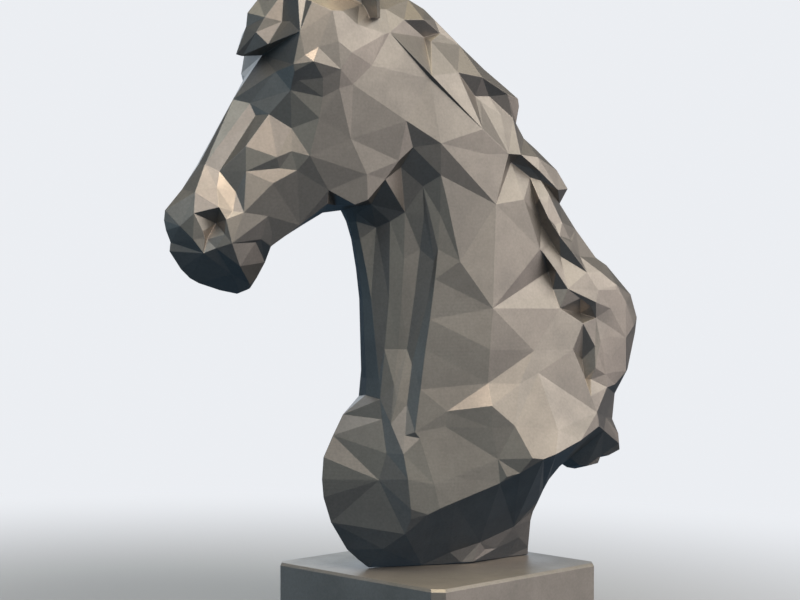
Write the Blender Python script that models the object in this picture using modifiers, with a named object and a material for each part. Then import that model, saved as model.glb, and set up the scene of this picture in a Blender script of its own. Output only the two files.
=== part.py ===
"""Low poly horse head bust: a faceted casting that stands on a square plinth.

Metres, +Z up. The origin is the centre of the plinth's underside. The bust looks
towards -Y and is turned a little on its plinth.

The corners of the near half are drawn on one three-quarter view, feature by feature.
Each is (across, down, out): its place on the drawing, then how far it stands out from
the bust's mid-plane, in thousandths of the bust's height. The creases between the
corners cut the half into facets, and the far half mirrors it.
"""

import math

import bmesh
import bpy
from mathutils import Matrix, Vector
from mathutils.geometry import delaunay_2d_cdt, intersect_point_line

BUST_HEIGHT = 0.290
BUST_TURN = math.radians(-16.5)

PLINTH_SIDE = 0.105
PLINTH_HEIGHT = 0.045
PLINTH_EDGE_WIDTH = 0.0044
PLINTH_RIM_WIDTH = 0.0012

RESTING_GAP = 0.0003

# The drawing: how far round to the horse's left it is seen from, how far down it looks,
# the distance it is seen from, and the places of its centre and of the bust's foot.
DRAWING_TURN = math.radians(62.06)
DRAWING_PITCH = math.radians(1.9)
DRAWN_DISTANCE = 2000
DRAWN_CENTRE = (400, 300)
DRAWN_FOOT = (437, 562)
DRAWN_HEIGHT = 637

DRAWN_UNIT = BUST_HEIGHT / DRAWN_HEIGHT
SHARE = BUST_HEIGHT / 1000

# The half's edge, which is on the mid-plane where out is 0 and beside a flat
# where it is more. It runs from the upper lip over the head, down the crest and the back.
FACE_EDGE = (
    (164, 221, 0), (165, 211, 0), (182, 190, 0), (205, 165, 15), (233, 100, 0), (262, 56, 0),
)
FORELOCK_EDGE = (
    (243, 56, 4), (236, 55, 0), (246, 28, 0), (247.5, 13.5, 0), (258, 0, 0), (276, -20, 0), (306, -34, 0),
    (338, -30, 0), (374, -18, 20),
)
MANE_EDGE = (
    (408, 0, 34), (424, 10, 38), (434, 20, 42), (459.5, 46, 36), (484, 70, 42), (505, 88, 44),
    (518, 99.5, 44), (519, 107, 40), (516, 124, 34), (523.7, 139, 40), (535.8, 150, 44), (556.8, 171, 46),
    (567.6, 189.5, 46), (559.6, 204.3, 40), (575.5, 230, 46), (595.8, 258.4, 48), (606.3, 265.8, 48),
    (630.5, 295, 48), (636.8, 318, 48), (635, 333, 48), (627.4, 370, 48), (614.7, 394, 48),
    (612.2, 419.5, 46),
    (618.3, 434, 46), (619.6, 450, 40), (608.4, 456, 36), (601, 456, 36), (597.9, 463.7, 34),
    (586.3, 466.8, 34),
    (579, 465.8, 32), (570, 458.4, 32),
)
BACK_EDGE = (
    (553.7, 472, 24), (549, 480, 26), (543, 491, 26), (538, 502, 24), (533, 512, 22), (530.5, 521, 20),
    (528, 548, 10),
)
FOOT_EDGE = ((162, 8), (119, 14), (33, 34), (-38, 20), (-121, 0))
CHEST_EDGE = (
    (358, 560, 0), (347, 550, 0), (331, 523, 0), (323.5, 498, 0), (322, 480, 0), (323.5, 458, 0),
    (333, 436, 0), (343, 415, 0), (380, 400, 36),
)
THROAT_EDGE = (
    (379, 380, 30), (375, 340, 25), (371, 300, 20), (366, 270, 17), (360, 240, 15), (356, 222, 17),
    (351, 208, 20),
)
JAW_EDGE = (
    (340, 210, 10), (325, 212, 10), (302, 226, 12), (280, 240, 20), (270, 248, 36), (265, 263, 36),
    (257, 278, 28), (250, 289, 20), (240, 293, 12), (220, 291, 0), (199, 284, 0), (190, 279, 0),
    (181, 270, 0), (169.5, 252, 0), (170.5, 243, 0), (166, 231, 0),
)

# How far a flat's middle stands proud, as a share of half its width.
FLAT_CROWN = 0.22

# Creases of the near half, by feature.
CREASES = {
    "nose side": (
        (205, 165, 15), (219.5, 172, 29), (255.5, 116, 31), (250, 104, 22), (205, 165, 15),
    ),
    "nose top to brow": ((233, 100, 0), (250, 104, 22), (275.5, 72.5, 56), (262, 56, 0)),
    "nose hollow": (
        (219.5, 172, 29), (245.7, 147, 52), (246, 172, 54), (279.5, 169, 70), (297, 171, 78),
        (291.6, 152, 77), (277, 158, 72), (246, 172, 54), (219.5, 172, 29),
    ),
    "nose bone": (
        (245.7, 147, 52), (269, 115, 55), (277, 158, 72), (245.7, 147, 52),
    ),
    "tear bone": (
        (255.5, 116, 31), (269, 115, 55), (291.6, 129, 73), (277, 158, 72), (279.5, 169, 70),
    ),
    "tear bone to cheek": ((291.6, 129, 73), (291.6, 152, 77), (309.8, 156.5, 87)),
    "hollow before the eye": (
        (275.5, 72.5, 56), (293.5, 65, 95), (290.6, 91, 80), (275.5, 72.5, 56),
    ),
    "brow": ((293.5, 65, 95), (305, 55.5, 100), (313.6, 62, 106), (323, 78.5, 101), (299, 81, 89)),
    "eye": ((299, 81, 89), (294.5, 72, 94), (313.6, 62, 106)),
    "under the eye": (
        (290.6, 91, 80), (299, 81, 89), (323, 97.6, 96), (323, 78.5, 101),
    ),
    "cheek bone": ((323, 97.6, 96), (339.4, 89, 100), (319.3, 118.6, 93), (323, 97.6, 96)),
    "cheek bone to hollow": ((290.6, 91, 80), (269, 115, 55)),
    "cheek bone to tear bone": ((319.3, 118.6, 93), (291.6, 129, 73)),
    "forehead side": ((290, 22, 62), (300, 32, 97), (293.5, 65, 95)),
    "brow to forehead": ((305, 55.5, 100), (318.4, 47.8, 103), (313.6, 62, 106)),
    "forehead top": (
        (300, 32, 97), (318.4, 47.8, 103), (338.5, 42, 106), (332.7, 11, 104),
    ),
    "forehead front": ((300, 32, 97), (312, 2, 97), (332.7, 11, 104)),
    "ear root front": ((332.7, 11, 104), (342.3, 11.5, 101), (357.6, 25.5, 97), (338.5, 42, 106)),
    "ear root side": ((357.6, 25.5, 97), (352, 53, 104), (385.3, 34.4, 88), (357.6, 25.5, 97)),
    "ear root back": ((385.3, 34.4, 88), (374, 9.6, 74), (359, 7, 76), (342.3, 11.5, 101)),
    "temple": ((338.5, 42, 106), (352, 53, 104), (371.9, 66, 93), (353, 85, 97), (341, 70, 105)),
    "temple to eye": ((352, 53, 104), (341, 70, 105), (323, 78.5, 101)),
    "temple to cheek": ((341, 70, 105), (339.4, 89, 100), (353, 85, 97)),
    "cheek front": ((319.3, 118.6, 93), (309.8, 156.5, 87), (350.9, 139.7, 93), (339.4, 89, 100)),
    "cheek plate": (
        (350.9, 139.7, 93), (367, 175, 91), (385.3, 180, 86), (398.6, 161.6, 87), (406.5, 121.5, 92),
    ),
    "cheek to jaw": ((309.8, 156.5, 87), (367, 175, 91), (367.8, 200.7, 88), (385.3, 180, 86)),
    "jaw corner": ((367.8, 200.7, 88), (354.9, 205.5, 85), (328.6, 191, 82), (309.8, 156.5, 87)),
    "jaw corner to throat": ((328.6, 191, 82), (336, 206, 44), (357, 207, 28), (371, 205, 50)),
    "jaw side": (
        (273, 184, 71), (279.5, 169, 70), (297, 171, 78), (273, 184, 71), (244, 213, 61),
        (268, 217, 64), (272, 233, 59), (271, 247, 54), (300, 226, 65), (327.5, 204.5, 74),
        (328.6, 191, 82), (297, 171, 78),
    ),
    "mouth corner": (
        (246, 172, 54), (244, 213, 61), (232, 244, 61), (268, 217, 64), (261, 240, 57), (232, 244, 61),
    ),
    "nostril wing": (
        (219.5, 172, 29), (236, 193, 45), (233, 212, 53), (217, 188, 37), (195, 193, 27),
        (205, 165, 15),
    ),
    "nostril wing to mouth": ((233, 212, 53), (226, 220, 55), (232, 244, 61)),
    "nostril rim": (
        (194, 214, 36), (219, 208, 50), (226, 220, 55), (225, 235, 54), (216, 249, 48),
        (203.5, 254, 38), (193, 240, 34), (194, 214, 36),
    ),
    "nostril top": ((195, 193, 27), (194, 214, 36)),
    "nostril": ((203, 232, 38), (216, 224, 30), (207, 240, 34), (203, 232, 38)),
    "nostril edge": ((194, 214, 36), (203, 232, 38), (205, 239, 38), (203.5, 254, 38)),
    "upper lip": ((182, 190, 0), (195, 193, 27), (180, 227, 24), (164, 221, 0)),
    "lip front": ((180, 227, 24), (193, 240, 34)),
    "mouth": ((216, 249, 48), (240, 267, 54), (232, 275, 34), (250, 285, 28)),
    "chin": ((240, 267, 54), (256, 243, 54), (261, 240, 57), (265, 263, 36)),
    "lip to chin": ((170.5, 243, 0), (203.5, 254, 38), (232, 275, 34)),
    "neck step": (
        (406.5, 121.5, 92), (413, 148, 84), (441, 144, 96), (406.5, 121.5, 92),
    ),
    "neck wedge": (
        (413, 148, 84), (441, 176, 88), (441, 144, 96), (487, 155, 86), (496, 205, 88),
        (441, 144, 96),
    ),
    "neck wedge foot": ((441, 176, 88), (496, 205, 88), (493, 309, 103)),
    "outer neck ridge": (
        (441, 176, 88), (440, 215, 82), (438, 250, 80), (435, 280, 80), (430, 320, 79),
        (425.5, 350, 78), (420.5, 390, 78), (415, 433, 80),
    ),
    "outer neck side": (
        (441, 176, 88), (447, 200, 89), (460, 262, 92), (493, 309, 103), (490, 350, 106), (488, 384, 106),
        (447, 412, 93), (415, 433, 80),
    ),
    "neck groove": (
        (423, 187, 70), (434, 262, 74), (428, 300, 71), (412, 365, 56), (407, 405, 60),
        (403.5, 455, 76),
    ),
    "middle neck ridge": (
        (413, 148, 84), (423, 187, 70), (424, 217, 66), (420, 250, 57), (414, 300, 54), (407, 350, 50),
        (397, 400, 54), (391, 425, 54), (386.5, 454, 52),
    ),
    "inner neck ridge": (
        (398.6, 161.6, 87), (401, 168, 66), (405, 213, 54), (404, 260, 50), (401.5, 300, 48),
        (398, 350, 45), (394, 385, 48), (391, 425, 54),
    ),
    "throat groove": (
        (371, 205, 50), (390, 222, 42), (389, 300, 39), (384.5, 350, 36), (380, 400, 36), (391, 425, 54),
    ),
    "throat": (
        (356, 222, 17), (357, 214, 24), (376, 228, 24), (371, 300, 20),
    ),
    "throat to neck": ((376, 228, 24), (371, 205, 50)),
    "chest tip of the neck": ((380, 400, 36), (382, 420, 40), (386.5, 454, 52), (403.5, 455, 76)),
    "chest ridge": (
        (407, 405, 60), (405, 436, 70), (403.5, 455, 76), (408, 480, 82), (411, 510, 86),
        (411, 520, 84), (405, 535, 74), (383, 550, 44), (368, 562, 8),
    ),
    "chest ridge top": ((407, 405, 60), (415, 433, 80)),
    "chest front": ((382, 420, 40), (333, 436, 0), (379, 481, 48), (405, 535, 74)),
    "chest front low": ((386.5, 454, 52), (379, 481, 48), (322, 480, 0)),
    "chest side": (
        (415, 433, 80), (420, 439, 83), (434.4, 485.5, 96), (454.8, 477.6, 104), (445.5, 427.4, 93),
        (415, 433, 80),
    ),
    "chest side to ridge": ((403.5, 455, 76), (434.4, 485.5, 96), (428, 515.5, 95), (411, 510, 86)),
    "shoulder": (
        (445.5, 427.4, 93), (491.8, 429, 118), (498, 460, 122), (454.8, 477.6, 104), (455, 503, 107),
    ),
    "shoulder top": (
        (488, 384, 106), (520, 384.3, 111), (492, 406.6, 118), (488, 384, 106),
    ),
    "shoulder top to side": ((492, 406.6, 118), (491.8, 429, 118)),
    "shoulder ramp": ((488, 384, 106), (534, 351.6, 100), (538.4, 373.8, 106), (520, 384.3, 111)),
    "shoulder facet": (
        (538.4, 373.8, 106), (515, 426.6, 129), (532.8, 459, 148), (543.7, 460, 150), (556, 455, 149),
        (581, 441, 136), (558.3, 431, 136), (538.4, 373.8, 106),
    ),
    "shoulder facet front": ((520, 384.3, 111), (515, 426.6, 129), (498, 460, 122)),
    "lower edge": (
        (405, 535, 74), (428, 515.5, 95), (440, 509.5, 101), (455, 503, 107), (500, 484, 125),
        (507, 477.6, 131), (520, 474, 138), (543.7, 460, 150),
    ),
    "lower edge back": ((581, 441, 136), (599, 427, 106), (599, 420, 102), (597, 413, 102)),
    "neck side back": ((493, 309, 103), (534, 351.6, 100)),
    "neck line": ((390, 33, 84), (432, 76.5, 90), (483, 130, 88), (430, 79.5, 85), (390, 33, 84)),
    "mane, first lump": (
        (386, 10, 66), (404, 20.5, 68), (424, 20.5, 62), (434, 20, 42), (440, 34, 44), (424, 20.5, 62),
    ),
    "mane, first step": ((404, 20.5, 68), (424, 38, 47), (440, 34, 44), (459.5, 46, 36), (431, 42, 60)),
    "mane, second lump": (
        (424, 38, 47), (431, 42, 60), (458, 73, 74), (482.5, 78, 70), (508, 95, 54), (518, 99.5, 44),
    ),
    "mane, second step": ((458, 73, 74), (475, 97, 60), (489, 97, 53), (482.5, 78, 70)),
    "mane, second step side": ((489, 97, 53), (513, 119, 46), (508, 95, 54), (516, 124, 34)),
    "mane, behind second step": (
        (475, 97, 60), (480, 101.5, 60), (489, 97, 53), (501, 116, 56), (513, 119, 46),
    ),
    "mane, third lump": (
        (480, 101.5, 60), (508.6, 154.5, 80), (521, 155.4, 76), (540, 172, 70), (558, 190.5, 60),
        (567.6, 189.5, 46),
    ),
    "mane, third lump side": ((521, 155.4, 76), (538, 158, 64), (558, 190.5, 60)),
    "mane, third step": (
        (508.6, 154.5, 80), (511, 163, 61), (530, 178, 60), (541, 181.5, 62), (549, 189, 54),
        (559.6, 204.3, 40),
    ),
    "mane, third step side": (
        (521, 155.4, 76), (531, 169, 66), (541, 181.5, 62), (558, 190.5, 60), (549, 189, 54),
    ),
    "first lock, front edge": (
        (530, 178, 60), (539, 199, 76), (548, 218, 78), (559.5, 236.5, 80), (571, 251, 80), (587, 273, 80),
    ),
    "first lock, groove": (
        (530, 178, 60), (536, 205, 66), (541, 225, 62), (551, 242, 64), (560.5, 257, 70),
        (559.5, 236.5, 80),
    ),
    "first lock, ridge": ((541, 181.5, 62), (549, 195, 68), (562, 223, 68), (570, 240, 66)),
    "first lock, hollow": (
        (539, 199, 76), (547.5, 203.5, 74), (555, 226, 74), (559.5, 236.5, 80), (570, 240, 66),
        (562, 223, 68),
        (547.5, 203.5, 74),
    ),
    "first lock, lower groove": ((559.5, 236.5, 80), (572, 243, 68), (580, 257, 70), (587, 273, 80)),
    "first lock, back band": (
        (572, 243, 68), (580, 257, 70), (600, 272, 70), (617, 286, 68), (630.5, 295, 48),
    ),
    "second lock, top": ((543, 253, 80), (560.5, 257, 70), (587, 273, 80), (617, 286, 68)),
    "second lock, front edge": (
        (543, 253, 80), (556, 271, 86), (568, 289.5, 88), (580, 299, 84), (591, 307, 82), (596, 318.5, 80),
    ),
    "second lock, groove": (
        (543, 253, 80), (548, 272, 66), (553, 290, 74), (560, 309, 85), (580, 314, 64), (596, 318.5, 80),
    ),
    "second lock, face": (
        (568, 289.5, 88), (598, 291, 82), (617, 286, 68),
    ),
    "second lock, lower face": (
        (568, 289.5, 88), (596, 303, 86), (598, 291, 82), (610.5, 309, 76), (596, 303, 86),
    ),
    "second lock, underside": ((596, 303, 86), (591, 307, 82)),
    "second lock, end": (
        (610.5, 309, 76), (596, 318.5, 80), (608, 326, 76), (626, 338.5, 68), (610.5, 309, 76),
    ),
    "third lock, band": ((598, 291, 82), (616, 290, 70), (626, 303, 64), (634, 326, 56), (626, 338.5, 68)),
    "third lock, back": ((616, 290, 70), (617, 286, 68)),
    "third lock, lower": (
        (596, 318.5, 80), (604, 334, 80), (608, 337, 78), (626, 338.5, 68), (626, 372, 66),
        (615, 385, 70), (615, 372, 74), (612, 358, 77), (608, 337, 78),
    ),
    "fourth lock, front": (
        (560, 309, 85), (583, 324, 86), (596, 318.5, 80), (595, 347, 84), (583, 324, 86),
    ),
    "fourth lock, groove": (
        (583, 324, 86), (582, 360, 72), (585, 380, 78), (591, 397, 100), (591, 380, 86),
        (595.5, 368.5, 88), (595, 347, 84),
    ),
    "fourth lock, edge": ((596, 318.5, 80), (600.5, 341, 84), (598, 355, 86), (595.5, 368.5, 88)),
    "fourth lock, face": (
        (600.5, 341, 84), (603, 352, 84), (605.5, 375, 82), (595.5, 368.5, 88), (591, 380, 86),
    ),
    "fourth lock, back": ((605.5, 375, 82), (615, 372, 74)),
    "fifth lock": (
        (605.5, 375, 82), (607, 388, 82), (591, 397, 100), (597, 413, 102), (607, 388, 82), (615, 385, 70),
    ),
    "sixth lock": (
        (597, 413, 102), (600, 424, 90), (604, 431, 74), (619, 444, 44), (606, 418, 66),
        (607, 388, 82),
    ),
    "sixth lock, side": ((606, 418, 66), (604, 431, 74)),
    "neck edge strip": ((560, 309, 85), (573, 350, 94), (584, 376, 97), (591, 397, 100)),
    "neck edge": ((573, 350, 94), (597, 413, 102)),
    "mane root": ((508.6, 154.5, 80), (511, 163, 61), (524, 200, 82), (540, 250, 82), (543, 253, 80)),
    "forelock": (
        (243, 56, 4), (268, 45, 38), (256, 33, 26), (246, 28, 0),
    ),
    "forelock, strands": (
        (256, 33, 26), (265, 18, 30), (282, 22, 40), (290, 22, 62), (268, 45, 38),
    ),
    "forelock, edge": ((258, 0, 0), (265, 18, 30), (284, -8, 34), (282, 22, 40)),
    "forelock, last strand": ((298, 0, 76), (300, 32, 97), (306, 0, 82), (298, 0, 76)),
    "foot top": ((450, 553, 36), (480, 543, 38), (514, 527, 29), (530.5, 521, 20)),
    "foot lump": ((450, 553, 36), (461, 563, 35), (472.6, 562.5, 38), (485, 550, 33), (480, 543, 38)),
    "heel": ((485, 550, 33), (496, 549, 29), (519, 538, 20), (514, 527, 29)),
}

# An ear is a loft of sections up its length. Each section is (share of the length,
# width, depth) in thousandths of the bust's height.
EAR_ROOT = (362, 20, 70)
EAR_TIP = (356, -75, 66)
EAR_SECTIONS = ((0, 62, 44), (0.42, 66, 46), (0.78, 40, 28))

# The way the ear's hollow faces, and a section's corners as shares of half its width
# and half its depth. The second corner is the bottom of the hollow.
EAR_WAY = (0.6, -0.8, 0)
EAR_OUTLINE = ((1, 0.5), (0, -0.1), (-1, 0.7), (-0.7, -0.6), (0, -1), (0.8, -0.5))

FACET_MERGE = 0.0001
WELD_DISTANCE = 0.000001
DRAWING_MERGE = 0.0000001
FACES_INSIDE = 1
RIM_ANGLE = math.radians(60)

# Colour, roughness and metal share of each piece's casting.
BUST_CASTING = ((0.24, 0.21, 0.18), 0.45, 0.6)
PLINTH_CASTING = ((0.22, 0.20, 0.18), 0.5, 0.5)


def drawing_axes():
    """Unit vectors of the drawing: across, up and away from the eye."""
    across = Vector((math.cos(DRAWING_TURN), math.sin(DRAWING_TURN), 0))
    away = Vector((
        -math.cos(DRAWING_PITCH) * math.sin(DRAWING_TURN),
        math.cos(DRAWING_PITCH) * math.cos(DRAWING_TURN),
        -math.sin(DRAWING_PITCH),
    ))
    return across, across.cross(away), away


def corner(across, down, out):
    """Place of a drawn corner in metres: X out from the mid-plane, Y back, Z up."""
    right, up, away = drawing_axes()
    foot_across = DRAWN_FOOT[0] - DRAWN_CENTRE[0]
    foot_down = DRAWN_FOOT[1] - DRAWN_CENTRE[1]
    eye = -(right * foot_across - up * foot_down + away * DRAWN_DISTANCE)
    ray = (
        right * (across - DRAWN_CENTRE[0]) - up * (down - DRAWN_CENTRE[1])
    ) / DRAWN_DISTANCE + away
    reach = (out * SHARE / DRAWN_UNIT - eye.x) / ray.x
    return (eye + ray * reach) * DRAWN_UNIT


def foot_corner(back, out):
    """Place of a corner of the foot, on the plinth's top."""
    return Vector((out * SHARE, back * SHARE, 0))


def edge_corners():
    """The half's edge, all the way round."""
    places = [corner(*drawn) for drawn in FACE_EDGE + FORELOCK_EDGE + MANE_EDGE + BACK_EDGE]
    places += [foot_corner(back, out) for back, out in FOOT_EDGE]
    places += [corner(*drawn) for drawn in CHEST_EDGE + THROAT_EDGE + JAW_EDGE]
    return places


def add_line(places, lines, line, closed=False):
    """Add a line's corners, sharing those that are already there."""
    indices = []
    for place in line:
        for index, known in enumerate(places):
            if (known - place).length < FACET_MERGE:
                break
        else:
            index = len(places)
            places.append(place)
        indices.append(index)
    pairs = zip(indices, indices[1:] + indices[:1] if closed else indices[1:])
    lines.extend((a, b) for a, b in pairs if a != b)
    return indices


def out_on_crease(point, places, lines):
    """How far out a point is that lies where creases cross."""
    nearest = None
    for a, b in lines:
        start = places[a].yz
        end = places[b].yz
        foot, share = intersect_point_line(point, start, end)
        share = min(max(share, 0), 1)
        distance = (start.lerp(end, share) - point).length
        if nearest is None or distance < nearest[0]:
            nearest = (distance, places[a].lerp(places[b], share).x)
    return nearest[1]


def outward_ways(rim):
    """Which way each corner of the half's edge faces, in the side view."""
    ways = {}
    for edge in rim:
        start, end = (vert.co.yz for vert in edge.verts)
        side = (end - start).orthogonal().normalized()
        if side.dot(edge.link_faces[0].calc_center_median().yz - start) > 0:
            side.negate()
        for vert in edge.verts:
            ways[vert] = ways.get(vert, Vector((0, 0))) + side
    return ways


def crown_corner(corner_vert, ways):
    """Put a flat's new corner on the mid-plane, a little proud, so that the flat is crowned."""
    near_ends = [edge.other_vert(corner_vert) for edge in corner_vert.link_edges]
    old = next(vert for vert in near_ends if vert in ways)
    if old.co.z > FACET_MERGE:
        rise = ways[old].normalized() * old.co.x * FLAT_CROWN
        corner_vert.co.y += rise.x
        corner_vert.co.z += rise.y
    corner_vert.co.x = 0


def facet_half():
    """The near half: facets between the creases, and flats that reach the mid-plane."""
    places = []
    lines = []
    edge = add_line(places, lines, edge_corners(), closed=True)
    for crease in CREASES.values():
        add_line(places, lines, [corner(*drawn) for drawn in crease])
    flat = [place.yz for place in places]
    points, _, faces, origins, _, _ = delaunay_2d_cdt(flat, lines, [edge], FACES_INSIDE, DRAWING_MERGE)
    shape = bmesh.new()
    verts = []
    for point, origin in zip(points, origins):
        out = places[origin[0]].x if origin else out_on_crease(point, places, lines)
        verts.append(shape.verts.new((out, point.x, point.y)))
    for face in faces:
        shape.faces.new([verts[index] for index in face])
    rim = [edge for edge in shape.edges if edge.is_boundary]
    ways = outward_ways(rim)
    grown = bmesh.ops.extrude_edge_only(shape, edges=rim)
    for item in grown["geom"]:
        if isinstance(item, bmesh.types.BMVert):
            crown_corner(item, ways)
    bmesh.ops.remove_doubles(shape, verts=shape.verts, dist=WELD_DISTANCE)
    bmesh.ops.dissolve_degenerate(shape, dist=WELD_DISTANCE, edges=shape.edges)
    bmesh.ops.recalc_face_normals(shape, faces=shape.faces)
    return shape


def loft(shape, sections, tip=None):
    """Join rings of corners into one closed body, ended by a cap or a tip."""
    rings = [[shape.verts.new(place) for place in section] for section in sections]
    count = len(rings[0])
    for lower, upper in zip(rings, rings[1:]):
        for index in range(count):
            after = (index + 1) % count
            shape.faces.new((lower[index], lower[after], upper[after], upper[index]))
    shape.faces.new(rings[0][::-1])
    if tip is None:
        shape.faces.new(rings[-1])
        return
    end = shape.verts.new(tip)
    for index in range(count):
        shape.faces.new((rings[-1][index], rings[-1][(index + 1) % count], end))


def ear_shape():
    """One ear: a tapering body with a hollow along its front."""
    root = corner(*EAR_ROOT)
    tip = corner(*EAR_TIP)
    along = (tip - root).normalized()
    way = Vector(EAR_WAY)
    front = (way - along * along.dot(way)).normalized()
    side = along.cross(front)
    sections = []
    for share, width, depth in EAR_SECTIONS:
        place = root.lerp(tip, share)
        wide = side * width * SHARE / 2
        deep = front * depth * SHARE / 2
        sections.append([place + wide * across + deep * ahead for across, ahead in EAR_OUTLINE])
    shape = bmesh.new()
    loft(shape, sections, tip)
    return shape


def mirrored(shape):
    """A copy of a shape on the other side of the mid-plane."""
    twin = shape.copy()
    bmesh.ops.scale(twin, vec=(-1, 1, 1), verts=twin.verts)
    bmesh.ops.reverse_faces(twin, faces=twin.faces)
    return twin


def make_object(name, shape, collection):
    """A mesh object of a shape, faces outwards, in a collection."""
    bmesh.ops.triangulate(shape, faces=shape.faces)
    bmesh.ops.recalc_face_normals(shape, faces=shape.faces)
    mesh = bpy.data.meshes.new(name)
    shape.to_mesh(mesh)
    shape.free()
    thing = bpy.data.objects.new(name, mesh)
    collection.objects.link(thing)
    return thing


def make_guide(name, shape, collection):
    """A shape that is only joined to the bust."""
    guide = make_object(name, shape, collection)
    guide.hide_render = True
    guide.display_type = "WIRE"
    return guide


def join(body, guide):
    """Join a guide to a body with a Boolean union."""
    union = body.modifiers.new(guide.name, "BOOLEAN")
    union.operation = "UNION"
    union.solver = "EXACT"
    union.object = guide


def make_bust(collection, guides):
    """The casting: head, neck and chest, with the two ears joined on."""
    half = facet_half()
    bust = make_object("bust", half, collection)
    twin = bust.modifiers.new("far half", "MIRROR")
    twin.use_axis = (True, False, False)
    twin.merge_threshold = FACET_MERGE
    near_ear = ear_shape()
    far_ear = mirrored(near_ear)
    join(bust, make_guide("near_ear", near_ear, guides))
    join(bust, make_guide("far_ear", far_ear, guides))
    turn = Matrix.Rotation(BUST_TURN, 4, "Z")
    place = Matrix.Translation((0, 0, PLINTH_HEIGHT + RESTING_GAP)) @ turn
    bust.matrix_world = place
    for guide in guides.objects:
        guide.matrix_world = place
    return bust


def make_plinth(collection):
    """The square block, with its upright edges cut off and its rims eased."""
    shape = bmesh.new()
    bmesh.ops.create_cube(shape, size=1)
    bmesh.ops.scale(shape, vec=(PLINTH_SIDE, PLINTH_SIDE, PLINTH_HEIGHT), verts=shape.verts)
    bmesh.ops.translate(shape, vec=(0, 0, PLINTH_HEIGHT / 2), verts=shape.verts)
    upright = [edge for edge in shape.edges if abs(edge.verts[0].co.z - edge.verts[1].co.z) > FACET_MERGE]
    bmesh.ops.bevel(
        shape, geom=upright, offset=PLINTH_EDGE_WIDTH, affect="EDGES", segments=1,
        profile=0.5, material=-1,
    )
    plinth = make_object("plinth", shape, collection)
    rims = plinth.modifiers.new("rims", "BEVEL")
    rims.width = PLINTH_RIM_WIDTH
    rims.segments = 1
    rims.limit_method = "ANGLE"
    rims.angle_limit = RIM_ANGLE
    return plinth


def make_material(name, colour, roughness, metallic):
    """A plain material for one piece."""
    material = bpy.data.materials.new(name)
    material.use_nodes = True
    shader = material.node_tree.nodes["Principled BSDF"]
    shader.inputs["Base Color"].default_value = (*colour, 1)
    shader.inputs["Roughness"].default_value = roughness
    shader.inputs["Metallic"].default_value = metallic
    return material


def main():
    for thing in list(bpy.data.objects):
        bpy.data.objects.remove(thing)
    collection = bpy.data.collections.new("horse_head_bust")
    guides = bpy.data.collections.new("joined_shapes")
    bpy.context.scene.collection.children.link(collection)
    bpy.context.scene.collection.children.link(guides)
    bust = make_bust(collection, guides)
    bust.data.materials.append(make_material("bust_casting", *BUST_CASTING))
    plinth = make_plinth(collection)
    plinth.data.materials.append(make_material("plinth_casting", *PLINTH_CASTING))


main()
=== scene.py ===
"""Looks for the horse head bust: casting finishes, studio stage, light and camera."""

import math

import bmesh
import bpy
from bpy.props import FloatProperty, FloatVectorProperty, PointerProperty
from bpy.types import Operator, Panel, PropertyGroup
from mathutils import Matrix, Vector


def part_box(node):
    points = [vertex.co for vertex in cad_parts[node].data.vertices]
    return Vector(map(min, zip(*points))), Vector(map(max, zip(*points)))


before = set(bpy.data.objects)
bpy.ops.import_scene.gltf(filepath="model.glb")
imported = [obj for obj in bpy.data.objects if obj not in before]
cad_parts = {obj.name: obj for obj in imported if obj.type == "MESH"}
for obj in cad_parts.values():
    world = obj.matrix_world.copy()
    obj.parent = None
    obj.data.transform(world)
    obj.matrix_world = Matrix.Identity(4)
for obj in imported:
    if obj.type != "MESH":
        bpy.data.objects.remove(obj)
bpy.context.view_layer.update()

bl_info = {
    "name": "Faceted Horse Bust",
    "version": (1, 0, 0),
    "blender": (4, 5, 0),
    "location": "View3D > Sidebar > Horse Bust",
    "description": "Finishes the cast bust and its plinth, and sets them on a pale studio floor",
    "category": "Object",
}

PLINTH_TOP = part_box("plinth")[1].z

# The patina: fineness of the clouds and the grain, the parts of their noise that show,
# how far the grain darkens and lightens the colour, and how far the clouds change the gloss.
CLOUD_DETAIL = 5
CLOUD_ROUGHNESS = 0.62
CLOUD_RANGE = (0.36, 0.64)
CLOUD_GLOSS = 0.22
GRAIN_DETAIL = 2
GRAIN_RANGE = (0.3, 0.7)
GRAIN_SHADES = (0.93, 1.05)
NOISE_MIDDLE = 0.5

# The level lines fade in and out with a noise that is stretched along them.
RIPPLE_STRETCH = (6, 6, 60)
RIPPLE_DETAIL = 3
RIPPLE_CONTRAST = 1.5

# How strongly the lines and the grain show, and the grain's depth as a share of the lines'.
LINE_STRENGTH = 0.5
GRAIN_STRENGTH = 0.35
GRAIN_DEPTH = 1.5
EDGE_SAMPLES = 6

# How metallic and how rough each casting is.
BUST_SURFACE = (0.85, 0.42)
PLINTH_SURFACE = (0.6, 0.48)

FLOOR_RADIUS = 3
FLOOR_SIDES = 96
FLOOR_ROUGHNESS = 0.8

# The fill grows with height between these two heights, from its low share to all of it.
FILL_HEIGHTS = (-0.6, 0.4)
FILL_LOW_SHARE = 0.8

SENSOR_WIDTH = 36
NEAR_CLIP = 0.01


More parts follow.
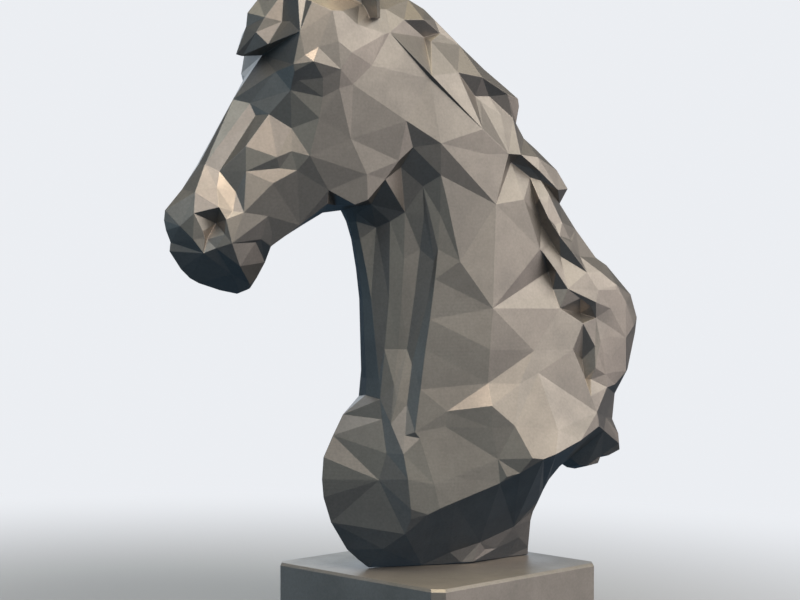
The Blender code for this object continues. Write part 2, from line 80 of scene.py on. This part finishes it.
class BustFinish(PropertyGroup):
    """Colours and sizes of the two casting finishes."""

    tone: FloatVectorProperty(
        name="Bust tone", description="Main colour of the bust's patina",
        subtype="COLOR", size=3, min=0, max=1, default=(0.31, 0.275, 0.245),
    )
    dark_tone: FloatVectorProperty(
        name="Bust dark tone", description="Colour of the darker clouds in the bust's patina",
        subtype="COLOR", size=3, min=0, max=1, default=(0.25, 0.225, 0.205),
    )
    plinth_tone: FloatVectorProperty(
        name="Plinth tone", description="Main colour of the plinth's patina",
        subtype="COLOR", size=3, min=0, max=1, default=(0.30, 0.27, 0.245),
    )
    plinth_dark_tone: FloatVectorProperty(
        name="Plinth dark tone", description="Colour of the darker clouds in the plinth's patina",
        subtype="COLOR", size=3, min=0, max=1, default=(0.24, 0.22, 0.20),
    )
    cloud_size: FloatProperty(
        name="Cloud size", description="Width of the soft clouds in the patina",
        unit="LENGTH", min=0.001, default=0.028,
    )
    grain_size: FloatProperty(
        name="Grain size", description="Width of the fine cast grain",
        unit="LENGTH", min=0.0001, default=0.0011,
    )
    line_pitch: FloatProperty(
        name="Line pitch", description="Height of one of the fine level lines left on the facets",
        unit="LENGTH", min=0.0001, default=0.0016,
    )
    line_depth: FloatProperty(
        name="Line depth", description="How deep the fine level lines are",
        unit="LENGTH", min=0, default=0.000012,
    )
    edge_softness: FloatProperty(
        name="Edge softness", description="Radius of the worn edges between facets",
        unit="LENGTH", min=0, default=0.0004,
    )


class BustStage(PropertyGroup):
    """Sizes, colours and strengths of the studio stage."""

    view_turn: FloatProperty(
        name="View turn", description="How far round to the bust's left the camera stands",
        subtype="ANGLE", default=math.radians(45.56),
    )
    view_tilt: FloatProperty(
        name="View tilt", description="How far down the camera looks",
        subtype="ANGLE", default=math.radians(1.9),
    )
    view_distance: FloatProperty(
        name="View distance", description="Distance from the camera to the bust's foot",
        unit="LENGTH", min=0.1, default=0.9105,
    )
    aim_across: FloatProperty(
        name="Aim across", description="How far right of the plinth's centre the camera aims",
        unit="LENGTH", default=-0.01684,
    )
    aim_up: FloatProperty(
        name="Aim up", description="How far above the plinth's top the camera aims",
        unit="LENGTH", default=0.11928,
    )
    lens: FloatProperty(
        name="Lens", description="Focal length of the camera in millimetres", min=10, default=90,
    )
    backdrop_tone: FloatVectorProperty(
        name="Backdrop tone", description="Colour of the pale backdrop",
        subtype="COLOR", size=3, min=0, max=1, default=(0.835, 0.855, 0.89),
    )
    # The floor's dark tone by the plinth is a painted shadow. The shade offset, near and far below place
    # that painted shadow pool left of the plinth and fade it out.
    floor_shadow_tone: FloatVectorProperty(
        name="Floor tone", description="Colour of the floor by the plinth",
        subtype="COLOR", size=3, min=0, max=1, default=(0.24, 0.25, 0.285),
    )
    shade_offset: FloatProperty(
        name="Shade offset",
        description="How far left of the plinth the middle of the floor's shade lies",
        unit="LENGTH", min=0, default=0.12,
    )
    shade_near: FloatProperty(
        name="Shade near", description="Radius at which the floor's shade begins to fade",
        unit="LENGTH", min=0, default=0.15,
    )
    shade_far: FloatProperty(
        name="Shade far", description="Radius at which the floor has faded into the backdrop",
        unit="LENGTH", min=0, default=0.6,
    )
    fill_tone: FloatVectorProperty(
        name="Fill tone", description="Colour of the cool light all round",
        subtype="COLOR", size=3, min=0, max=1, default=(0.34, 0.64, 1.0),
    )
    fill_strength: FloatProperty(
        name="Fill strength", description="Strength of the cool light all round", min=0, default=0.13,
    )
    key_power: FloatProperty(
        name="Key power", description="Power of the small warm softbox", min=0, default=26,
    )
    top_power: FloatProperty(
        name="Top power", description="Power of the three softboxes above", min=0, default=94,
    )
    wall_power: FloatProperty(
        name="Wall power", description="Power of the two softboxes at the right", min=0, default=44,
    )
    front_power: FloatProperty(
        name="Front power", description="Power of the two low softboxes by the camera",
        min=0, default=16.5,
    )
    left_power: FloatProperty(
        name="Left power", description="Power of the cool softbox at the left", min=0, default=4.5,
    )
    back_power: FloatProperty(
        name="Back power", description="Power of the softbox that lights the hidden side",
        min=0, default=20,
    )
    light_distance: FloatProperty(
        name="Light distance", description="Distance from the bust to each softbox",
        unit="LENGTH", min=0.5, default=2.6,
    )


# The softboxes: turn from the camera to the right and lift, both in degrees, width in
# metres, the power they share in, their share of it and their colour. The shares and
# colours of the first eight, the top, wall and front powers, and the fill's tone and
# strength were fitted by a program to colours read from the photograph. The last two
# rows and the key's place, width and power were given one by one.
SOFTBOXES = {
    "key": (29, 44, 0.8, "key_power", 1, (1.0, 0.84, 0.61)),
    "overhead": (0, 88, 2.2, "top_power", 0.62, (1.0, 0.89, 0.58)),
    "high_front": (10, 50, 2.2, "top_power", 0.2, (1.0, 0.83, 0.85)),
    "high_left": (-40, 55, 2.2, "top_power", 0.18, (0.74, 0.93, 1.0)),
    "high_wall": (86, 34, 2.2, "wall_power", 0.59, (1.0, 0.99, 0.9)),
    "low_wall": (95, 5, 2.2, "wall_power", 0.41, (1.0, 0.91, 0.87)),
    "right_front": (45, 20, 2.2, "front_power", 0.73, (1.0, 1.0, 0.95)),
    "low_front": (0, 15, 2.2, "front_power", 0.27, (0.76, 1.0, 0.89)),
    "low_left": (-75, 0, 2.2, "left_power", 1, (0.55, 0.82, 1.0)),
    "back_left": (-165, 25, 2.2, "back_power", 1, (0.8, 0.9, 1.0)),
}


def new_tree_group(name, inputs, outputs):
    """A shader node group with these sockets, and its two end nodes."""
    group = bpy.data.node_groups.new(name, "ShaderNodeTree")
    for label, kind in inputs:
        group.interface.new_socket(name=label, in_out="INPUT", socket_type=kind)
    for label, kind in outputs:
        group.interface.new_socket(name=label, in_out="OUTPUT", socket_type=kind)
    start = group.nodes.new("NodeGroupInput")
    end = group.nodes.new("NodeGroupOutput")
    return group, start, end


def math_node(tree, operation, first, second=None):
    """A Math node whose inputs are sockets or numbers."""
    node = tree.nodes.new("ShaderNodeMath")
    node.operation = operation
    for socket, value in zip(node.inputs, (first, second)):
        if value is None:
            continue
        if isinstance(value, bpy.types.NodeSocket):
            tree.links.new(value, socket)
        else:
            socket.default_value = value
    return node.outputs[0]


def set_range(node, end, limits):
    """Set the two From or To limits of a Map Range node."""
    for label, limit in zip(("Min", "Max"), limits):
        node.inputs[end + " " + label].default_value = limit


def build_patina():
    """The group that clouds a casting's colour and roughness."""
    group, start, end = new_tree_group(
        "patina_clouds",
        (("Tone", "NodeSocketColor"), ("Dark Tone", "NodeSocketColor"),
         ("Cloud Size", "NodeSocketFloat"), ("Grain Size", "NodeSocketFloat"),
         ("Roughness", "NodeSocketFloat")),
        (("Color", "NodeSocketColor"), ("Roughness", "NodeSocketFloat"), ("Grain", "NodeSocketFloat")),
    )
    place = group.nodes.new("ShaderNodeTexCoord").outputs["Object"]
    cloud = group.nodes.new("ShaderNodeTexNoise")
    cloud.inputs["Detail"].default_value = CLOUD_DETAIL
    cloud.inputs["Roughness"].default_value = CLOUD_ROUGHNESS
    group.links.new(place, cloud.inputs["Vector"])
    group.links.new(math_node(group, "DIVIDE", 1, start.outputs["Cloud Size"]), cloud.inputs["Scale"])
    grain = group.nodes.new("ShaderNodeTexNoise")
    grain.inputs["Detail"].default_value = GRAIN_DETAIL
    group.links.new(place, grain.inputs["Vector"])
    group.links.new(math_node(group, "DIVIDE", 1, start.outputs["Grain Size"]), grain.inputs["Scale"])
    share = group.nodes.new("ShaderNodeMapRange")
    set_range(share, "From", CLOUD_RANGE)
    group.links.new(cloud.outputs["Fac"], share.inputs["Value"])
    speck = group.nodes.new("ShaderNodeMapRange")
    set_range(speck, "From", GRAIN_RANGE)
    set_range(speck, "To", GRAIN_SHADES)
    group.links.new(grain.outputs["Fac"], speck.inputs["Value"])
    mix = group.nodes.new("ShaderNodeMix")
    mix.data_type = "RGBA"
    group.links.new(share.outputs["Result"], mix.inputs["Factor"])
    group.links.new(start.outputs["Dark Tone"], mix.inputs["A"])
    group.links.new(start.outputs["Tone"], mix.inputs["B"])
    shade = group.nodes.new("ShaderNodeMix")
    shade.data_type = "RGBA"
    shade.blend_type = "MULTIPLY"
    shade.inputs["Factor"].default_value = 1
    group.links.new(mix.outputs["Result"], shade.inputs["A"])
    group.links.new(speck.outputs["Result"], shade.inputs["B"])
    group.links.new(shade.outputs["Result"], end.inputs["Color"])
    swing = math_node(group, "SUBTRACT", NOISE_MIDDLE, cloud.outputs["Fac"])
    wave = math_node(group, "MULTIPLY", swing, CLOUD_GLOSS)
    group.links.new(math_node(group, "ADD", start.outputs["Roughness"], wave), end.inputs["Roughness"])
    group.links.new(grain.outputs["Fac"], end.inputs["Grain"])
    return group


def build_level_lines():
    """The group that gives the height of the fine level lines across the facets."""
    group, start, end = new_tree_group(
        "level_lines", (("Line Pitch", "NodeSocketFloat"),), (("Height", "NodeSocketFloat"),),
    )
    place = group.nodes.new("ShaderNodeTexCoord").outputs["Object"]
    spread = group.nodes.new("ShaderNodeMapping")
    spread.inputs["Scale"].default_value = RIPPLE_STRETCH
    group.links.new(place, spread.inputs["Vector"])
    ripple = group.nodes.new("ShaderNodeTexNoise")
    ripple.inputs["Scale"].default_value = 1
    ripple.inputs["Detail"].default_value = RIPPLE_DETAIL
    group.links.new(spread.outputs["Vector"], ripple.inputs["Vector"])
    apart = group.nodes.new("ShaderNodeSeparateXYZ")
    group.links.new(place, apart.inputs["Vector"])
    turns = math_node(group, "DIVIDE", apart.outputs["Z"], start.outputs["Line Pitch"])
    phase = math_node(group, "MULTIPLY", turns, math.tau)
    level = math_node(group, "SINE", phase)
    weight = math_node(group, "POWER", ripple.outputs["Fac"], RIPPLE_CONTRAST)
    group.links.new(math_node(group, "MULTIPLY", level, weight), end.inputs["Height"])
    return group


def casting_material(name, tone, dark_tone, metallic, roughness, finish):
    """A satin metal casting with a clouded patina, fine level lines and soft edges."""
    material = bpy.data.materials.new(name)
    material.use_nodes = True
    tree = material.node_tree
    shader = tree.nodes["Principled BSDF"]
    shader.inputs["Metallic"].default_value = metallic
    patina = tree.nodes.new("ShaderNodeGroup")
    patina.node_tree = bpy.data.node_groups["patina_clouds"]
    patina.inputs["Tone"].default_value = (*tone, 1)
    patina.inputs["Dark Tone"].default_value = (*dark_tone, 1)
    patina.inputs["Cloud Size"].default_value = finish.cloud_size
    patina.inputs["Grain Size"].default_value = finish.grain_size
    patina.inputs["Roughness"].default_value = roughness
    tree.links.new(patina.outputs["Color"], shader.inputs["Base Color"])
    tree.links.new(patina.outputs["Roughness"], shader.inputs["Roughness"])
    lines = tree.nodes.new("ShaderNodeGroup")
    lines.node_tree = bpy.data.node_groups["level_lines"]
    lines.inputs["Line Pitch"].default_value = finish.line_pitch
    soft = tree.nodes.new("ShaderNodeBevel")
    soft.samples = EDGE_SAMPLES
    soft.inputs["Radius"].default_value = finish.edge_softness
    etched = tree.nodes.new("ShaderNodeBump")
    etched.inputs["Strength"].default_value = LINE_STRENGTH
    etched.inputs["Distance"].default_value = finish.line_depth
    tree.links.new(lines.outputs["Height"], etched.inputs["Height"])
    tree.links.new(soft.outputs["Normal"], etched.inputs["Normal"])
    cast = tree.nodes.new("ShaderNodeBump")
    cast.inputs["Strength"].default_value = GRAIN_STRENGTH
    cast.inputs["Distance"].default_value = finish.line_depth * GRAIN_DEPTH
    tree.links.new(patina.outputs["Grain"], cast.inputs["Height"])
    tree.links.new(etched.outputs["Normal"], cast.inputs["Normal"])
    tree.links.new(cast.outputs["Normal"], shader.inputs["Normal"])
    return material


def dress(node, material):
    """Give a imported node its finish."""
    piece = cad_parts[node]
    for slot in piece.material_slots:
        slot.material = material


def view_axes(stage):
    """The camera's right, up and forward directions."""
    turn = Matrix.Rotation(stage.view_turn, 3, "Z") @ Matrix.Rotation(-stage.view_tilt, 3, "X")
    return turn @ Vector((1, 0, 0)), turn @ Vector((0, 0, 1)), turn @ Vector((0, 1, 0))


def softbox(name, stage, turn, lift, size, power, colour):
    """A square area light that faces the bust, placed by its turn from the camera and its lift."""
    light = bpy.data.lights.new(name, "AREA")
    light.shape = "SQUARE"
    light.size = size
    light.energy = power
    light.color = colour
    lamp = bpy.data.objects.new(name, light)
    bpy.context.collection.objects.link(lamp)
    around = stage.view_turn + turn
    middle = Vector((0, 0, PLINTH_TOP + stage.aim_up))
    way = Vector((math.sin(around) * math.cos(lift), -math.cos(around) * math.cos(lift), math.sin(lift)))
    lamp.location = middle + way * stage.light_distance
    lamp.rotation_euler = way.to_track_quat("Z", "Y").to_euler()
    return lamp


class HORSEBUST_OT_finish_bust(Operator):
    """Give the cast bust its clouded satin patina"""

    bl_idname = "horsebust.finish_bust"
    bl_label = "Finish Bust"

    def execute(self, context):
        finish = context.scene.bust_finish
        tones = (finish.tone, finish.dark_tone)
        dress("bust", casting_material("bust_patina", *tones, *BUST_SURFACE, finish))
        return {"FINISHED"}


class HORSEBUST_OT_finish_plinth(Operator):
    """Give the plinth its clouded satin patina"""

    bl_idname = "horsebust.finish_plinth"
    bl_label = "Finish Plinth"

    def execute(self, context):
        finish = context.scene.bust_finish
        tones = (finish.plinth_tone, finish.plinth_dark_tone)
        dress("plinth", casting_material("plinth_patina", *tones, *PLINTH_SURFACE, finish))
        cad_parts["plinth"].visible_glossy = False
        return {"FINISHED"}


class HORSEBUST_OT_set_stage(Operator):
    """Set the bust on a pale studio floor, with soft light and the camera"""

    bl_idname = "horsebust.set_stage"
    bl_label = "Set Stage"

    def execute(self, context):
        stage = context.scene.bust_stage
        self.build_floor(stage)
        self.build_world(stage)
        self.build_lights(stage)
        self.build_camera(stage)
        return {"FINISHED"}

    def build_floor(self, stage):
        """A round floor with a painted shadow pool left of the plinth, on top of the real shadows it
        catches, that fades into the backdrop.
        """
        shape = bmesh.new()
        bmesh.ops.create_circle(shape, cap_ends=True, radius=FLOOR_RADIUS, segments=FLOOR_SIDES)
        mesh = bpy.data.meshes.new("studio_floor")
        shape.to_mesh(mesh)
        shape.free()
        floor = bpy.data.objects.new("studio_floor", mesh)
        bpy.context.collection.objects.link(floor)
        floor.visible_diffuse = False
        floor.visible_glossy = False
        material = bpy.data.materials.new("floor_with_painted_shadow")
        material.use_nodes = True
        tree = material.node_tree
        shader = tree.nodes["Principled BSDF"]
        shader.inputs["Base Color"].default_value = (*stage.floor_shadow_tone, 1)
        shader.inputs["Roughness"].default_value = FLOOR_ROUGHNESS
        glow = tree.nodes.new("ShaderNodeEmission")
        glow.inputs["Color"].default_value = (*stage.backdrop_tone, 1)
        # The painted shadow pool is centred left of the plinth, where the bust's shadow falls, and fades
        # into the glowing backdrop.
        place = tree.nodes.new("ShaderNodeTexCoord").outputs["Object"]
        reach = tree.nodes.new("ShaderNodeVectorMath")
        reach.operation = "DISTANCE"
        reach.inputs[1].default_value = view_axes(stage)[0] * -stage.shade_offset
        tree.links.new(place, reach.inputs[0])
        shadow_fade = tree.nodes.new("ShaderNodeMapRange")
        shadow_fade.interpolation_type = "SMOOTHSTEP"
        set_range(shadow_fade, "From", (stage.shade_near, stage.shade_far))
        tree.links.new(reach.outputs["Value"], shadow_fade.inputs["Value"])
        mix = tree.nodes.new("ShaderNodeMixShader")
        tree.links.new(shadow_fade.outputs["Result"], mix.inputs["Fac"])
        tree.links.new(shader.outputs["BSDF"], mix.inputs[1])
        tree.links.new(glow.outputs["Emission"], mix.inputs[2])
        tree.links.new(mix.outputs["Shader"], tree.nodes["Material Output"].inputs["Surface"])
        mesh.materials.append(material)

    def build_world(self, stage):
        """A pale backdrop for the camera and a dim cool fill for the bust."""
        world = bpy.data.worlds.new("studio")
        world.use_nodes = True
        bpy.context.scene.world = world
        tree = world.node_tree
        fill = tree.nodes["Background"]
        way = tree.nodes.new("ShaderNodeSeparateXYZ")
        tree.links.new(tree.nodes.new("ShaderNodeTexCoord").outputs["Generated"], way.inputs["Vector"])
        rise = tree.nodes.new("ShaderNodeMapRange")
        set_range(rise, "From", FILL_HEIGHTS)
        set_range(rise, "To", (FILL_LOW_SHARE, 1))
        tree.links.new(way.outputs["Z"], rise.inputs["Value"])
        shade = tree.nodes.new("ShaderNodeMix")
        shade.data_type = "RGBA"
        shade.inputs["A"].default_value = (0, 0, 0, 1)
        shade.inputs["B"].default_value = (*stage.fill_tone, 1)
        tree.links.new(rise.outputs["Result"], shade.inputs["Factor"])
        tree.links.new(shade.outputs["Result"], fill.inputs["Color"])
        fill.inputs["Strength"].default_value = stage.fill_strength
        seen = tree.nodes.new("ShaderNodeBackground")
        seen.inputs["Color"].default_value = (*stage.backdrop_tone, 1)
        path = tree.nodes.new("ShaderNodeLightPath")
        mix = tree.nodes.new("ShaderNodeMixShader")
        tree.links.new(path.outputs["Is Camera Ray"], mix.inputs["Fac"])
        tree.links.new(fill.outputs["Background"], mix.inputs[1])
        tree.links.new(seen.outputs["Background"], mix.inputs[2])
        tree.links.new(mix.outputs["Shader"], tree.nodes["World Output"].inputs["Surface"])

    def build_lights(self, stage):
        """The softboxes round the bust."""
        for name, (turn, lift, size, power, share, tone) in SOFTBOXES.items():
            strength = getattr(stage, power) * share
            softbox(name, stage, math.radians(turn), math.radians(lift), size, strength, tone)

    def build_camera(self, stage):
        """The camera, at the photograph's angle."""
        right, up, forward = view_axes(stage)
        view = bpy.data.cameras.new("camera")
        view.lens = stage.lens
        view.sensor_width = SENSOR_WIDTH
        view.clip_start = NEAR_CLIP
        camera = bpy.data.objects.new("camera", view)
        bpy.context.collection.objects.link(camera)
        foot = Vector((0, 0, PLINTH_TOP))
        aim = foot + right * stage.aim_across + up * stage.aim_up
        camera.location = aim - forward * stage.view_distance
        camera.rotation_euler = (math.pi / 2 - stage.view_tilt, 0, stage.view_turn)
        bpy.context.scene.camera = camera
        bpy.context.scene.view_settings.view_transform = "Standard"


class HORSEBUST_PT_panel(Panel):
    """The sizes and steps of the horse bust"""

    bl_idname = "HORSEBUST_PT_panel"
    bl_label = "Horse Bust"
    bl_space_type = "VIEW_3D"
    bl_region_type = "UI"
    bl_category = "Horse Bust"

    def draw(self, context):
        for group in (context.scene.bust_finish, context.scene.bust_stage):
            for name in group.__annotations__:
                self.layout.prop(group, name)
        for step in STEPS:
            self.layout.operator(step.bl_idname)


STEPS = (HORSEBUST_OT_finish_bust, HORSEBUST_OT_finish_plinth, HORSEBUST_OT_set_stage)
CLASSES = (BustFinish, BustStage, *STEPS, HORSEBUST_PT_panel)


def register():
    for item in CLASSES:
        bpy.utils.register_class(item)
    bpy.types.Scene.bust_finish = PointerProperty(type=BustFinish)
    bpy.types.Scene.bust_stage = PointerProperty(type=BustStage)


def unregister():
    del bpy.types.Scene.bust_stage
    del bpy.types.Scene.bust_finish
    for item in reversed(CLASSES):
        bpy.utils.unregister_class(item)


def main():
    register()
    build_patina()
    build_level_lines()
    bpy.ops.horsebust.finish_bust()
    bpy.ops.horsebust.finish_plinth()
    bpy.ops.horsebust.set_stage()


if __name__ == "__main__":
    main()
